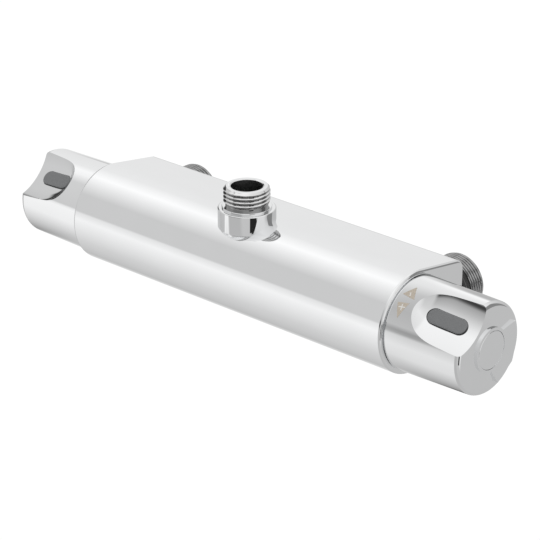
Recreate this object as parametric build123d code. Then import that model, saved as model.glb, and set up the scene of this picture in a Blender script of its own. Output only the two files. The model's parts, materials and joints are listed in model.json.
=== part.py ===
from build123d import *
import math
import os

# Exposed thermostatic shower mixer: a D-section bar with two inlets in its back,
# one outlet on top, a flow handle on the left and a temperature handle on the right.
# Origin: midway between the two inlets, in the plane of their end faces.
# X runs along the bar, +Y points into the wall, +Z is up. Millimetres.

# Connections
INLET_SPACING = 160.0
INLET_REACH = 48.5
INLET_THREAD_RADIUS = 13.0
INLET_BORE_RADIUS = 9.0
INLET_SPIGOT_RADIUS = 11.45
INLET_FLANGE_RADIUS = 14.6
INLET_FLANGE_THICKNESS = 2.5
OUTLET_THREAD_RADIUS = 10.478
OUTLET_BORE_RADIUS = 7.1
OUTLET_FORWARD = 4.3
OUTLET_TOP = 38.7
COLLAR_RADIUS = 13.0
COLLAR_TOP = 28.6
COLLAR_FOOT = 18.9
COLLAR_FOOT_EDGE = 1.0
COLLAR_SEAT = 13.0
STEM_RADIUS = 11.0
OUTLET_SPIGOT_RADIUS = 9.5
OUTLET_SPIGOT_LENGTH = 5.0
WASHER_THICKNESS = 1.5
THREAD_LEAD_CHAMFER = 1.2
THREAD_RELIEF_DEPTH = 0.9
THREAD_RELIEF_WIDTH = 1.4
BASE_RING_RADIUS = 11.2
BASE_RING_HEIGHT = 0.9

# Bar
BODY_HALF = 93.0
BODY_RADIUS = 23.3
BODY_BACK = 32.5
BACK_TAPER = 8.7
BACK_CORNER_RADIUS = 5.0
END_EDGE_RADIUS = 1.2

# Waterways cast in the bar
WARM_BORE_RADIUS = 17.5
WARM_BORE_DEPTH = 52.0
FLOW_BORE_RADIUS = 14.5
FLOW_BORE_DEPTH = 40.0
MIXED_CHANNEL_RADIUS = 5.0
HOT_CHANNEL_RADIUS = 4.5
HOT_CHANNEL_BACK = 21.5
HOT_CHANNEL_DROP = 9.0
OUTLET_CHANNEL_RADIUS = 4.0
OUTLET_CHANNEL_RISE = 13.5
OUTLET_WELL_FLOOR = 9.0
FEED_FLOOR = 16.0

# Clearances
FIT_GAP = 0.05
RUNNING_GAP = 0.05
HANDLE_GAP = 0.4
BUTTON_GAP = 0.12

# Handles: distances run outward along the bar axis from the bar's middle
HANDLE_RADIUS = 21.3
HANDLE_END_RADIUS = 20.6
HANDLE_LENGTH = 39.6
HANDLE_EDGE_RADIUS = 2.2
HANDLE_CROWN = 0.7
HANDLE_ROOM_RADIUS = 18.0
HANDLE_ROOM_DEPTH = 8.0
HUB_SCREW_RADIUS = 2.7
HUB_WELL_RADIUS = 5.0
HUB_SPLINE_LENGTH = 10.0
HUB_WEB = 4.0

# Thumb scoop, facing up and forward, with its button
SCOOP_ANGLE = 44.0
SCOOP_RADIUS = 20.0
SCOOP_CENTRE_START = 26.4
SCOOP_CENTRE_HEIGHT = 33.0
SCOOP_FALL = 4.1
FLOOR_RADIUS = 30.0
FLOOR_HEIGHT = 14.5
FLOOR_FALL = 8.0
BUTTON_LENGTH = 19.0
BUTTON_WIDTH = 7.2
BUTTON_SIDE = 0.8
BUTTON_TOP = 15.9
BUTTON_CROWN = 1.2
BUTTON_BOTTOM = 10.4
BUTTON_START = 14.9
BUTTON_LIP = 0.9
BUTTON_LIP_THICKNESS = 1.0
BUTTON_TRAVEL = 2.0
BUTTON_SPRING_RADIUS = 1.6
BUTTON_SPRING_WIRE = 0.25
BUTTON_SPRING_TURNS = 3

# Raised web on the handle's end, from the cap to the back edge
WEB_RISE = 0.7
WEB_HUB_RADIUS = 10.0
WEB_START_ANGLE = 62.0
WEB_CORNER_ANGLE = 125.0
WEB_END_ANGLE = 163.0
WEB_RADIUS = 17.6
WEB_WAIST_RADIUS = 16.2
WEB_DEPTH = 8.0

# Cap, screw and spindle shared by both sides
CAP_RADIUS = 8.6
CAP_THICKNESS = 1.8
CAP_STEM_RADIUS = 4.6
CAP_STEM_LENGTH = 5.0
SCREW_RADIUS = 2.0
SCREW_HEAD_RADIUS = 4.4
SCREW_HEAD_HEIGHT = 3.0
SCREW_LENGTH = 14.0
SCREW_SOCKET_WIDTH = 3.5
SCREW_SOCKET_DEPTH = 1.8
SPINDLE_RADIUS = 6.0
SPLINE_RADIUS = 5.0
SPLINE_COUNT = 20
SPLINE_DEPTH = 0.45

# Retaining nuts and stop rings
NUT_SEAT = 9.5
NUT_THREAD_LENGTH = 9.8
NUT_NECK_RADIUS = 12.0
NUT_NECK_LENGTH = 4.5
NUT_HEX_WIDTH = 27.0
NUT_HEX_HEIGHT = 3.0
STOP_RING_RADIUS = 16.2
STOP_RING_WIDTH = 3.0
STOP_TAB_WIDTH = 4.0
STOP_TAB_REACH = 1.2

# Thermostat cartridge
CARTRIDGE_FLOOR_GAP = 3.0
WARM_WALL = 4.2
WARM_WEB = 3.0
PORT_RADIUS = 2.2
PORT_COUNT = 10
PORT_ROWS = (11.0, 27.0)
ORING_WIRE = 1.1
ORING_SIDE_GAP = 0.15
ORING_ROWS = (5.0, 19.0, 33.0)
SHUTTLE_START = 14.0
SHUTTLE_LENGTH = 9.0
SHUTTLE_WALL = 1.6
SHUTTLE_PORT_RADIUS = 1.6
SHUTTLE_PORT_COUNT = 6
ELEMENT_RADIUS = 4.6
ELEMENT_TAIL = 9.0
ELEMENT_NOSE = 6.0
PISTON_RADIUS = 1.6
SHUTTLE_TRAVEL = 1.2
RETURN_SPRING_RADIUS = 7.6
RETURN_SPRING_WIRE = 0.6
RETURN_SPRING_TURNS = 4

# Ceramic disc cartridge
FLOW_WALL = 4.4
DISC_RADIUS = 9.4
DISC_THICKNESS = 3.0
DISC_GAP = 0.02
DISC_PORT_RADIUS = 2.4
DISC_PORT_OFFSET = 4.6
FLOW_SEAL_THICKNESS = 2.5
FOOT_THICKNESS = 3.0
FOOT_RADIUS = 9.0
FLOW_PORT_ROW = 18.0
FLOW_PORT_COUNT = 6
FLOW_ORING_ROWS = (11.0, 24.5)

# Non-return valves and strainers inside the inlets
CAGE_START = 23.0
CAGE_LENGTH = 12.0
CAGE_WALL = 2.2
CAGE_PLATE = 2.0
CAGE_SEAT_RADIUS = 4.6
CAGE_GUIDE_RADIUS = 1.5
CAGE_PORT_RADIUS = 1.5
CAGE_PORT_COUNT = 4
POPPET_RADIUS = 5.8
POPPET_THICKNESS = 2.0
POPPET_TAIL = 8.5
POPPET_TRAVEL = 3.0
CHECK_SPRING_RADIUS = 2.6
CHECK_SPRING_WIRE = 0.35
CHECK_SPRING_TURNS = 2
STRAINER_LENGTH = 9.0
STRAINER_WALL = 0.7
STRAINER_SLOT_END = 1.4
STRAINER_RADIUS = 6.6
STRAINER_RIM = 1.2
STRAINER_SLOT_COUNT = 12
STRAINER_SLOT_WIDTH = 1.4

HANDLE_START = BODY_HALF + HANDLE_GAP
HANDLE_END = HANDLE_START + HANDLE_LENGTH
BUTTON_MIDDLE = HANDLE_START + BUTTON_START + BUTTON_LENGTH / 2
NUT_START = BODY_HALF - NUT_SEAT
SPLINE_START = HANDLE_START + HANDLE_ROOM_DEPTH
WARM_FLOOR = BODY_HALF - WARM_BORE_DEPTH
FLOW_FLOOR = BODY_HALF - FLOW_BORE_DEPTH

# The bar axis lies this far in front of the inlets' end faces.
BAR_AXIS = Location((0, -INLET_REACH, 0))
# Side pieces are drawn with x to the wall, y up and z outward along the bar.
OUTWARD = Plane(origin=(0, -INLET_REACH, 0), x_dir=(0, 1, 0), z_dir=(1, 0, 0))


def rod(radius, start, length):
    """Round bar along z from start."""
    return Pos(0, 0, start) * Cylinder(radius, length, align=(Align.CENTER, Align.CENTER, Align.MIN))


def tube(outer, inner, start, length):
    """Round tube along z from start."""
    return rod(outer, start, length) - rod(inner, start, length)


def hexagon(width, start, length):
    """Hexagonal bar of a given width across flats."""
    return Pos(0, 0, start) * extrude(RegularPolygon(width / 2, 6, major_radius=False), length)


def holes_around(radius, count, start, reach):
    """Round holes through a tube wall, spread around it."""
    hole = Pos(0, 0, start) * Rot(0, 90, 0) * rod(radius, 0, reach)
    return [Rot(0, 0, step * 360 / count) * hole for step in range(count)]


def holes_through(radius, count, circle, start, length):
    """Round holes along z on a circle."""
    hole = Pos(circle, 0, 0) * rod(radius, start, length)
    return [Rot(0, 0, step * 360 / count) * hole for step in range(count)]


def coil(radius, wire, turns, start, length):
    """Round-wire spring along z, with its ends inside the given length."""
    rise = length - 2 * wire
    path = Helix(pitch=rise / turns, height=rise, radius=radius)
    section = Plane(origin=path @ 0, z_dir=path % 0) * Circle(wire)
    return Pos(0, 0, start + wire) * sweep(section, path=path)


def o_ring(groove_radius, centre):
    """O-ring that rests in a groove of the given floor radius."""
    return Pos(0, 0, centre) * Torus(groove_radius + ORING_WIRE, ORING_WIRE)


def groove(outer, centre):
    """Square groove for an O-ring, cut into a tube of the given radius."""
    floor = outer - 2 * ORING_WIRE
    width = 2 * ORING_WIRE + ORING_SIDE_GAP
    return tube(outer + 1, floor, centre - width / 2, width)


def right(shape):
    """Place a side piece at the bar's right end."""
    return OUTWARD * shape


def left(shape):
    """Place a side piece at the bar's left end."""
    return mirror(OUTWARD * shape, Plane.YZ)


def across(shape):
    """Stand a piece drawn along z on the scoop's outward direction."""
    return Rot(0, 0, SCOOP_ANGLE) * Rot(-90, 0, 0) * shape


def at_inlet(shape, side):
    """Place a piece drawn along z, measured from the bar axis, at one inlet."""
    return BAR_AXIS * Pos(side * INLET_SPACING / 2, 0, 0) * Rot(-90, 0, 0) * shape


def at_outlet(shape):
    """Place a piece drawn along z, measured from the bar axis, at the outlet."""
    return BAR_AXIS * Pos(0, -OUTLET_FORWARD, 0) * shape


def body_section():
    """D-shaped section: a round front and a tapering, square-cornered back."""
    taper = math.radians(BACK_TAPER)
    shoulder = BODY_RADIUS * math.sin(taper)
    height = BODY_RADIUS * math.cos(taper)
    back_height = height - (BODY_BACK - shoulder) * math.tan(taper)
    back = make_face(
        Polyline(
            (shoulder, height),
            (BODY_BACK, back_height),
            (BODY_BACK, -back_height),
            (shoulder, -height),
            close=True,
        )
    )
    corners = back.vertices().sort_by(Axis.X)[-2:]
    return Circle(BODY_RADIUS) + fillet(corners, BACK_CORNER_RADIUS)


def valve_body():
    """Cast bar with its cartridge bores, inlet and outlet seats and waterways."""
    bar = extrude(body_section(), BODY_HALF, both=True)
    rims = bar.edges().group_by(Axis.Z)[0] + bar.edges().group_by(Axis.Z)[-1]
    bar = fillet(rims, END_EDGE_RADIUS)
    bar -= rod(WARM_BORE_RADIUS, WARM_FLOOR, WARM_BORE_DEPTH)
    bar -= rod(FLOW_BORE_RADIUS, -BODY_HALF, FLOW_BORE_DEPTH)
    bar -= rod(MIXED_CHANNEL_RADIUS, -FLOW_FLOOR, FLOW_FLOOR + WARM_FLOOR)
    hot_port = WARM_FLOOR + CARTRIDGE_FLOOR_GAP + PORT_ROWS[0]
    hot_length = INLET_SPACING / 2 + hot_port + HOT_CHANNEL_RADIUS
    bar -= Pos(HOT_CHANNEL_BACK, -HOT_CHANNEL_DROP, 0) * rod(
        HOT_CHANNEL_RADIUS, -INLET_SPACING / 2, hot_length
    )
    swing = math.degrees(math.atan2(HOT_CHANNEL_DROP, HOT_CHANNEL_BACK))
    reach = math.hypot(HOT_CHANNEL_BACK, HOT_CHANNEL_DROP)
    bar -= Rot(0, 0, -swing) * Pos(0, 0, hot_port) * Rot(0, 90, 0) * rod(PORT_RADIUS, 0, reach)
    outlet_way = FLOW_FLOOR + FLOW_PORT_ROW + OUTLET_CHANNEL_RADIUS
    bar -= Pos(-OUTLET_FORWARD, OUTLET_CHANNEL_RISE, 0) * rod(
        OUTLET_CHANNEL_RADIUS, -outlet_way, outlet_way
    )
    body = right(bar)
    for side in (-1, 1):
        body -= at_inlet(rod(INLET_SPIGOT_RADIUS + FIT_GAP, CAGE_START, BODY_BACK - CAGE_START), side)
        body -= at_inlet(rod(INLET_BORE_RADIUS, FEED_FLOOR, CAGE_START - FEED_FLOOR), side)
    body -= at_outlet(rod(COLLAR_RADIUS + FIT_GAP, COLLAR_FOOT - FIT_GAP, COLLAR_TOP - COLLAR_FOOT))
    body -= at_outlet(rod(STEM_RADIUS + FIT_GAP, COLLAR_SEAT, COLLAR_TOP - COLLAR_SEAT))
    spigot = COLLAR_SEAT - OUTLET_WELL_FLOOR
    body -= at_outlet(rod(OUTLET_SPIGOT_RADIUS + FIT_GAP, OUTLET_WELL_FLOOR, spigot))
    return body


def outlet_nipple():
    """Turned outlet: collar and stem sunk in the bar, threaded neck and water bore."""
    start = COLLAR_SEAT + WASHER_THICKNESS
    shape = rod(COLLAR_RADIUS, COLLAR_FOOT, COLLAR_TOP - COLLAR_FOOT)
    shape = chamfer(shape.edges().group_by(Axis.Z)[-1], END_EDGE_RADIUS / 2)
    shape = fillet(shape.edges().group_by(Axis.Z)[0], COLLAR_FOOT_EDGE)
    shape += rod(STEM_RADIUS, start, COLLAR_TOP - start)
    shape += rod(BASE_RING_RADIUS, COLLAR_TOP, BASE_RING_HEIGHT)
    neck_start = COLLAR_TOP + BASE_RING_HEIGHT
    neck = rod(OUTLET_THREAD_RADIUS, neck_start, OUTLET_TOP - neck_start)
    neck = chamfer(neck.edges().group_by(Axis.Z)[-1], THREAD_LEAD_CHAMFER)
    neck -= tube(
        OUTLET_THREAD_RADIUS + 1, OUTLET_THREAD_RADIUS - THREAD_RELIEF_DEPTH, neck_start, THREAD_RELIEF_WIDTH
    )
    shape += neck
    spigot = start - OUTLET_WELL_FLOOR - FIT_GAP
    shape += rod(OUTLET_SPIGOT_RADIUS, OUTLET_WELL_FLOOR + FIT_GAP, spigot)
    shape -= rod(OUTLET_BORE_RADIUS, OUTLET_WELL_FLOOR, OUTLET_TOP)
    return at_outlet(shape)


def outlet_washer():
    """Flat seal under the outlet's collar."""
    return at_outlet(
        tube(STEM_RADIUS - FIT_GAP, OUTLET_SPIGOT_RADIUS + FIT_GAP, COLLAR_SEAT, WASHER_THICKNESS)
    )


def inlet_nipple(side):
    """Turned inlet: spigot in the bar, flange, thread relief and male thread."""
    flange = BODY_BACK + WASHER_THICKNESS
    thread = flange + INLET_FLANGE_THICKNESS
    neck = rod(INLET_THREAD_RADIUS, thread, INLET_REACH - thread)
    neck = chamfer(neck.edges().group_by(Axis.Z)[-1], THREAD_LEAD_CHAMFER)
    neck -= tube(
        INLET_THREAD_RADIUS + 1, INLET_THREAD_RADIUS - THREAD_RELIEF_DEPTH, thread, THREAD_RELIEF_WIDTH
    )
    shape = neck + rod(INLET_FLANGE_RADIUS, flange, INLET_FLANGE_THICKNESS)
    shape += rod(INLET_SPIGOT_RADIUS, CAGE_START + FIT_GAP, flange - CAGE_START - FIT_GAP)
    shape -= rod(INLET_BORE_RADIUS, CAGE_START, INLET_REACH)
    return at_inlet(shape, side)


def inlet_washer(side):
    """Flat seal between an inlet's flange and the bar's back."""
    inner = INLET_SPIGOT_RADIUS + FIT_GAP
    return at_inlet(tube(INLET_FLANGE_RADIUS - FIT_GAP, inner, BODY_BACK, WASHER_THICKNESS), side)


def check_cage(side):
    """Sleeve of a non-return valve: seat at the wall end, guide plate at the other."""
    outer = INLET_BORE_RADIUS - FIT_GAP
    shape = rod(outer, CAGE_START, CAGE_LENGTH)
    room = CAGE_LENGTH - 2 * CAGE_PLATE
    shape -= rod(outer - CAGE_WALL, CAGE_START + CAGE_PLATE, room)
    shape -= rod(CAGE_SEAT_RADIUS, CAGE_START + CAGE_PLATE + room, CAGE_PLATE)
    shape -= rod(CAGE_GUIDE_RADIUS + RUNNING_GAP, CAGE_START, CAGE_PLATE)
    circle = (CAGE_GUIDE_RADIUS + outer - CAGE_WALL) / 2 + CAGE_PORT_RADIUS / 2
    for hole in holes_through(CAGE_PORT_RADIUS, CAGE_PORT_COUNT, circle, CAGE_START, CAGE_PLATE):
        shape -= hole
    return at_inlet(shape, side)


def check_poppet(side):
    """Disc that closes against the seat, on a stem that runs in the guide plate."""
    face = CAGE_START + CAGE_LENGTH - CAGE_PLATE - RUNNING_GAP
    shape = rod(POPPET_RADIUS, face - POPPET_THICKNESS, POPPET_THICKNESS)
    shape += rod(CAGE_GUIDE_RADIUS, face - POPPET_TAIL, POPPET_TAIL - POPPET_THICKNESS)
    return at_inlet(shape, side)


def check_spring(side):
    """Spring of a non-return valve, drawn at its compressed length."""
    start = CAGE_START + CAGE_PLATE
    room = CAGE_LENGTH - 2 * CAGE_PLATE - POPPET_THICKNESS - POPPET_TRAVEL - 2 * RUNNING_GAP
    shape = coil(CHECK_SPRING_RADIUS, CHECK_SPRING_WIRE, CHECK_SPRING_TURNS, start, room)
    return at_inlet(shape, side)


def inlet_strainer(side):
    """Slotted cup that keeps grit out of the non-return valve."""
    rim = INLET_BORE_RADIUS - FIT_GAP
    start = CAGE_START + CAGE_LENGTH
    shape = rod(STRAINER_RADIUS, start, STRAINER_LENGTH)
    shape += rod(rim, start, STRAINER_RIM)
    shape -= rod(STRAINER_RADIUS - STRAINER_WALL, start, STRAINER_LENGTH - STRAINER_WALL)
    slot_length = STRAINER_LENGTH - STRAINER_RIM - 2 * STRAINER_SLOT_END
    slot = Pos(STRAINER_RADIUS, 0, start + STRAINER_RIM + STRAINER_SLOT_END) * Box(
        STRAINER_RADIUS,
        STRAINER_SLOT_WIDTH,
        slot_length,
        align=(Align.CENTER, Align.CENTER, Align.MIN),
    )
    for step in range(STRAINER_SLOT_COUNT):
        shape -= Rot(0, 0, step * 360 / STRAINER_SLOT_COUNT) * slot
    return at_inlet(shape, side)


def handle_blank():
    """Turned outside of a handle: slight taper, rounded end edge, crowned end."""
    edge_height = HANDLE_END - HANDLE_CROWN
    shoulder = edge_height - HANDLE_EDGE_RADIUS
    flat_radius = HANDLE_END_RADIUS - HANDLE_EDGE_RADIUS
    diagonal = HANDLE_EDGE_RADIUS * math.sqrt(0.5)
    middle = (flat_radius + diagonal, shoulder + diagonal)
    outline = Polyline(
        (0, HANDLE_END), (0, HANDLE_START), (HANDLE_RADIUS, HANDLE_START), (HANDLE_END_RADIUS, shoulder)
    )
    outline += ThreePointArc((HANDLE_END_RADIUS, shoulder), middle, (flat_radius, edge_height))
    crown = (flat_radius / 2, HANDLE_END - HANDLE_CROWN / 4)
    outline += ThreePointArc((flat_radius, edge_height), crown, (0, HANDLE_END))
    return revolve(Plane.XZ * make_face(outline), Axis.Z)


def scoop():
    """Thumb scoop: the track of a ball that runs out over the end, with a flatter falling floor."""
    track = Rot(90 + SCOOP_FALL, 0, 0) * rod(SCOOP_RADIUS, 0, HANDLE_LENGTH)
    walls = Pos(0, 0, SCOOP_CENTRE_HEIGHT) * (Sphere(SCOOP_RADIUS) + track)
    floor = Rot(90 + FLOOR_FALL, 0, 0) * rod(FLOOR_RADIUS, -HANDLE_LENGTH, 2 * HANDLE_LENGTH)
    walls &= Pos(0, 0, FLOOR_HEIGHT + FLOOR_RADIUS) * floor
    return across(Pos(0, -HANDLE_START - SCOOP_CENTRE_START, 0) * walls)


def pill(length, width, bottom, top):
    """Round-ended bar under the scoop, along the handle's axis."""
    plan = Pos(BUTTON_SIDE, -BUTTON_MIDDLE) * Rot(0, 0, 90) * SlotOverall(length, width)
    return Pos(0, 0, bottom) * extrude(plan, top - bottom)


def end_web():
    """Raised web on the handle's end, around the cap and out to the back edge."""

    def spot(angle, radius=WEB_RADIUS):
        turn = math.radians(angle)
        return (radius * math.sin(turn), radius * math.cos(turn))

    middle = spot((WEB_START_ANGLE + WEB_CORNER_ANGLE) / 2, WEB_WAIST_RADIUS)
    outline = ThreePointArc(spot(WEB_START_ANGLE), middle, spot(WEB_CORNER_ANGLE))
    outline += Polyline(spot(WEB_CORNER_ANGLE), spot(WEB_END_ANGLE), (0, 0), spot(WEB_START_ANGLE))
    plan = make_face(outline) + Circle(WEB_HUB_RADIUS)
    return Pos(0, 0, HANDLE_END + WEB_RISE - WEB_DEPTH) * extrude(plan, WEB_DEPTH)


def handle():
    """Handle with its scoop, button well, hub bores and cap seat."""
    shape = handle_blank() + end_web()
    shape -= scoop()
    lip_top = BUTTON_BOTTOM + BUTTON_LIP_THICKNESS + BUTTON_GAP
    mouth = (BUTTON_LENGTH + 2 * BUTTON_GAP, BUTTON_WIDTH + 2 * BUTTON_GAP)
    floor = BUTTON_BOTTOM - BUTTON_TRAVEL - BUTTON_GAP
    shape -= across(pill(*mouth, floor, SCOOP_CENTRE_HEIGHT))
    well = (mouth[0] + 2 * BUTTON_LIP, mouth[1] + 2 * BUTTON_LIP)
    shape -= across(pill(*well, floor, lip_top))
    shape -= rod(HANDLE_ROOM_RADIUS, HANDLE_START, HANDLE_ROOM_DEPTH)
    shape -= rod(SPLINE_RADIUS + FIT_GAP, SPLINE_START, HUB_SPLINE_LENGTH)
    shape -= rod(HUB_SCREW_RADIUS, SPLINE_START + HUB_SPLINE_LENGTH, HUB_WEB)
    well_start = SPLINE_START + HUB_SPLINE_LENGTH + HUB_WEB
    shape -= rod(HUB_WELL_RADIUS, well_start, HANDLE_END - well_start)
    cap_seat = HANDLE_END + WEB_RISE - CAP_THICKNESS
    shape -= rod(CAP_RADIUS + FIT_GAP, cap_seat, CAP_THICKNESS)
    return shape


def end_cap():
    """Round cap that closes the hub, with a stem that grips its well."""
    seat = HANDLE_END + WEB_RISE - CAP_THICKNESS
    shape = rod(CAP_RADIUS, seat, CAP_THICKNESS)
    shape = fillet(shape.edges().group_by(Axis.Z)[-1], END_EDGE_RADIUS / 2)
    return shape + rod(CAP_STEM_RADIUS, seat - CAP_STEM_LENGTH, CAP_STEM_LENGTH)


def handle_screw():
    """Socket screw that holds the handle on its spindle."""
    seat = SPLINE_START + HUB_SPLINE_LENGTH + HUB_WEB
    shape = rod(SCREW_HEAD_RADIUS, seat, SCREW_HEAD_HEIGHT)
    socket_start = seat + SCREW_HEAD_HEIGHT - SCREW_SOCKET_DEPTH
    shape -= hexagon(SCREW_SOCKET_WIDTH, socket_start, SCREW_SOCKET_DEPTH)
    return shape + rod(SCREW_RADIUS, seat - SCREW_LENGTH, SCREW_LENGTH)


def button():
    """Grey push button with a falling, rounded top and a retaining lip."""
    turn = math.radians(FLOOR_FALL)
    shape = pill(BUTTON_LENGTH, BUTTON_WIDTH, BUTTON_BOTTOM, BUTTON_TOP + BUTTON_LENGTH)
    top = Plane((BUTTON_SIDE, -BUTTON_MIDDLE, BUTTON_TOP), z_dir=(0, -math.sin(turn), math.cos(turn)))
    shape = split(shape, top, keep=Keep.BOTTOM)
    shape = fillet(shape.faces().sort_by(Axis.Z)[-1].edges(), BUTTON_CROWN)
    lip = (BUTTON_LENGTH + 2 * BUTTON_LIP, BUTTON_WIDTH + 2 * BUTTON_LIP)
    shape += pill(*lip, BUTTON_BOTTOM, BUTTON_BOTTOM + BUTTON_LIP_THICKNESS)
    bore = BUTTON_SPRING_RADIUS + BUTTON_SPRING_WIRE + BUTTON_GAP
    room = BUTTON_TRAVEL + BUTTON_GAP
    shape -= Pos(BUTTON_SIDE, -BUTTON_MIDDLE, 0) * rod(bore, BUTTON_BOTTOM, room)
    return across(shape)


def button_spring():
    """Button spring, drawn at its pressed length."""
    floor = BUTTON_BOTTOM - BUTTON_TRAVEL - BUTTON_GAP
    shape = coil(BUTTON_SPRING_RADIUS, BUTTON_SPRING_WIRE, BUTTON_SPRING_TURNS, floor, BUTTON_TRAVEL)
    return across(Pos(BUTTON_SIDE, -BUTTON_MIDDLE, 0) * shape)


def spindle(start):
    """Turned spindle: journal in the nut, splines in the handle, screw hole."""
    shape = rod(SPINDLE_RADIUS, start, SPLINE_START - start)
    splines = rod(SPLINE_RADIUS, SPLINE_START, HUB_SPLINE_LENGTH)
    tooth_gap = 2 * math.pi * SPLINE_RADIUS / SPLINE_COUNT / 2
    cutter = Pos(SPLINE_RADIUS, 0, SPLINE_START) * Box(
        2 * SPLINE_DEPTH, tooth_gap, HUB_SPLINE_LENGTH, align=(Align.CENTER, Align.CENTER, Align.MIN)
    )
    for step in range(SPLINE_COUNT):
        splines -= Rot(0, 0, step * 360 / SPLINE_COUNT) * cutter
    shape += splines
    depth = SCREW_LENGTH - HUB_WEB + FIT_GAP
    hole_start = SPLINE_START + HUB_SPLINE_LENGTH - depth
    return shape - rod(SCREW_RADIUS + FIT_GAP, hole_start, depth)


def retaining_nut(bore_radius):
    """Nut that holds a cartridge: threaded ring, hexagon and neck."""
    shape = rod(bore_radius - FIT_GAP, NUT_START, NUT_THREAD_LENGTH)
    hex_start = NUT_START + NUT_THREAD_LENGTH
    shape += hexagon(NUT_HEX_WIDTH, hex_start, NUT_HEX_HEIGHT)
    neck_start = hex_start + NUT_HEX_HEIGHT
    shape += rod(NUT_NECK_RADIUS, neck_start, NUT_NECK_LENGTH)
    length = neck_start + NUT_NECK_LENGTH - NUT_START
    return shape - rod(SPINDLE_RADIUS + RUNNING_GAP, NUT_START, length)


def stop_ring():
    """Ring with a stop tab on the nut's neck."""
    start = NUT_START + NUT_THREAD_LENGTH + NUT_HEX_HEIGHT
    shape = tube(STOP_RING_RADIUS, NUT_NECK_RADIUS + FIT_GAP, start, STOP_RING_WIDTH)
    tab = Pos(0, -STOP_RING_RADIUS, start) * Box(
        STOP_TAB_WIDTH, 2 * STOP_TAB_REACH, STOP_RING_WIDTH, align=(Align.CENTER, Align.CENTER, Align.MIN)
    )
    return shape + tab


def cartridge_sleeve(bore_radius, wall, start, port_rows, port_count, ring_rows):
    """Sleeve with O-ring grooves and rows of ports, from start to the nut."""
    outer = bore_radius - FIT_GAP
    shape = tube(outer, outer - wall, start, NUT_START - start)
    for row in port_rows:
        for hole in holes_around(PORT_RADIUS, port_count, start + row, outer + 1):
            shape -= hole
    for row in ring_rows:
        shape -= groove(outer, start + row)
    return shape


def sleeve_rings(bore_radius, start, ring_rows):
    """O-rings of a cartridge sleeve."""
    floor = bore_radius - FIT_GAP - 2 * ORING_WIRE
    return [o_ring(floor, start + row) for row in ring_rows]


def thermostat_housing():
    """Sleeve of the thermostat, with a web that carries the return spring."""
    start = WARM_FLOOR + CARTRIDGE_FLOOR_GAP
    shape = cartridge_sleeve(WARM_BORE_RADIUS, WARM_WALL, start, PORT_ROWS, PORT_COUNT, ORING_ROWS)
    inner = WARM_BORE_RADIUS - FIT_GAP - WARM_WALL
    return shape + tube(inner + FIT_GAP, ELEMENT_RADIUS + 2 * RUNNING_GAP, start, WARM_WEB)


def thermostat_shuttle():
    """Shuttle that opens one water row as it closes the other, with a ported web."""
    start = WARM_FLOOR + CARTRIDGE_FLOOR_GAP + SHUTTLE_START
    outer = WARM_BORE_RADIUS - FIT_GAP - WARM_WALL - RUNNING_GAP
    shape = tube(outer, outer - SHUTTLE_WALL, start, SHUTTLE_LENGTH)
    shape += tube(outer - SHUTTLE_WALL / 2, ELEMENT_RADIUS + FIT_GAP, start, 2 * SHUTTLE_WALL)
    circle = (outer - SHUTTLE_WALL + ELEMENT_RADIUS) / 2
    for hole in holes_through(SHUTTLE_PORT_RADIUS, SHUTTLE_PORT_COUNT, circle, start, 2 * SHUTTLE_WALL):
        shape -= hole
    return shape


def thermostat_element():
    """Wax element: sensing tail, collar on the shuttle and piston towards the spindle."""
    web = WARM_FLOOR + CARTRIDGE_FLOOR_GAP + SHUTTLE_START
    nose = web + 2 * SHUTTLE_WALL
    shape = rod(ELEMENT_RADIUS, web - ELEMENT_TAIL, ELEMENT_TAIL + 2 * SHUTTLE_WALL)
    shape += rod(ELEMENT_RADIUS + SHUTTLE_WALL, nose, SHUTTLE_WALL)
    shape += rod(ELEMENT_RADIUS, nose + SHUTTLE_WALL, ELEMENT_NOSE)
    piston = nose + SHUTTLE_WALL + ELEMENT_NOSE
    tip = NUT_START - RUNNING_GAP - SHUTTLE_TRAVEL
    return shape + rod(PISTON_RADIUS, piston, tip - piston)


def thermostat_spring():
    """Return spring between the housing's web and the shuttle, at its shortest length."""
    start = WARM_FLOOR + CARTRIDGE_FLOOR_GAP + WARM_WEB
    length = SHUTTLE_START - WARM_WEB - SHUTTLE_TRAVEL - RUNNING_GAP
    return coil(RETURN_SPRING_RADIUS, RETURN_SPRING_WIRE, RETURN_SPRING_TURNS, start, length)


def flow_fixed_disc():
    """Fixed ceramic disc with two water ports."""
    start = FLOW_FLOOR + FLOW_SEAL_THICKNESS
    shape = rod(DISC_RADIUS, start, DISC_THICKNESS)
    for hole in holes_through(DISC_PORT_RADIUS, 2, DISC_PORT_OFFSET, start, DISC_THICKNESS):
        shape -= hole
    return shape


def flow_moving_disc():
    """Ceramic disc that turns with the spindle and shuts the ports."""
    start = FLOW_FLOOR + FLOW_SEAL_THICKNESS + DISC_THICKNESS + DISC_GAP
    shape = rod(DISC_RADIUS, start, DISC_THICKNESS)
    for hole in holes_through(DISC_PORT_RADIUS, 2, DISC_PORT_OFFSET, start, DISC_THICKNESS):
        shape -= Rot(0, 0, 90) * hole
    return shape


def flow_seal():
    """Rubber seat that presses the fixed disc up."""
    return tube(DISC_RADIUS, MIXED_CHANNEL_RADIUS, FLOW_FLOOR, FLOW_SEAL_THICKNESS)


def flow_spindle():
    """Flow spindle with the foot that drives the moving disc."""
    foot_start = FLOW_FLOOR + FLOW_SEAL_THICKNESS + 2 * DISC_THICKNESS + DISC_GAP
    shape = spindle(foot_start + FOOT_THICKNESS)
    return shape + rod(FOOT_RADIUS, foot_start, FOOT_THICKNESS)


def flow_housing():
    """Sleeve of the ceramic cartridge, seated on the bar's bore floor."""
    return cartridge_sleeve(
        FLOW_BORE_RADIUS, FLOW_WALL, FLOW_FLOOR, (FLOW_PORT_ROW,), FLOW_PORT_COUNT, FLOW_ORING_ROWS
    )


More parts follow.
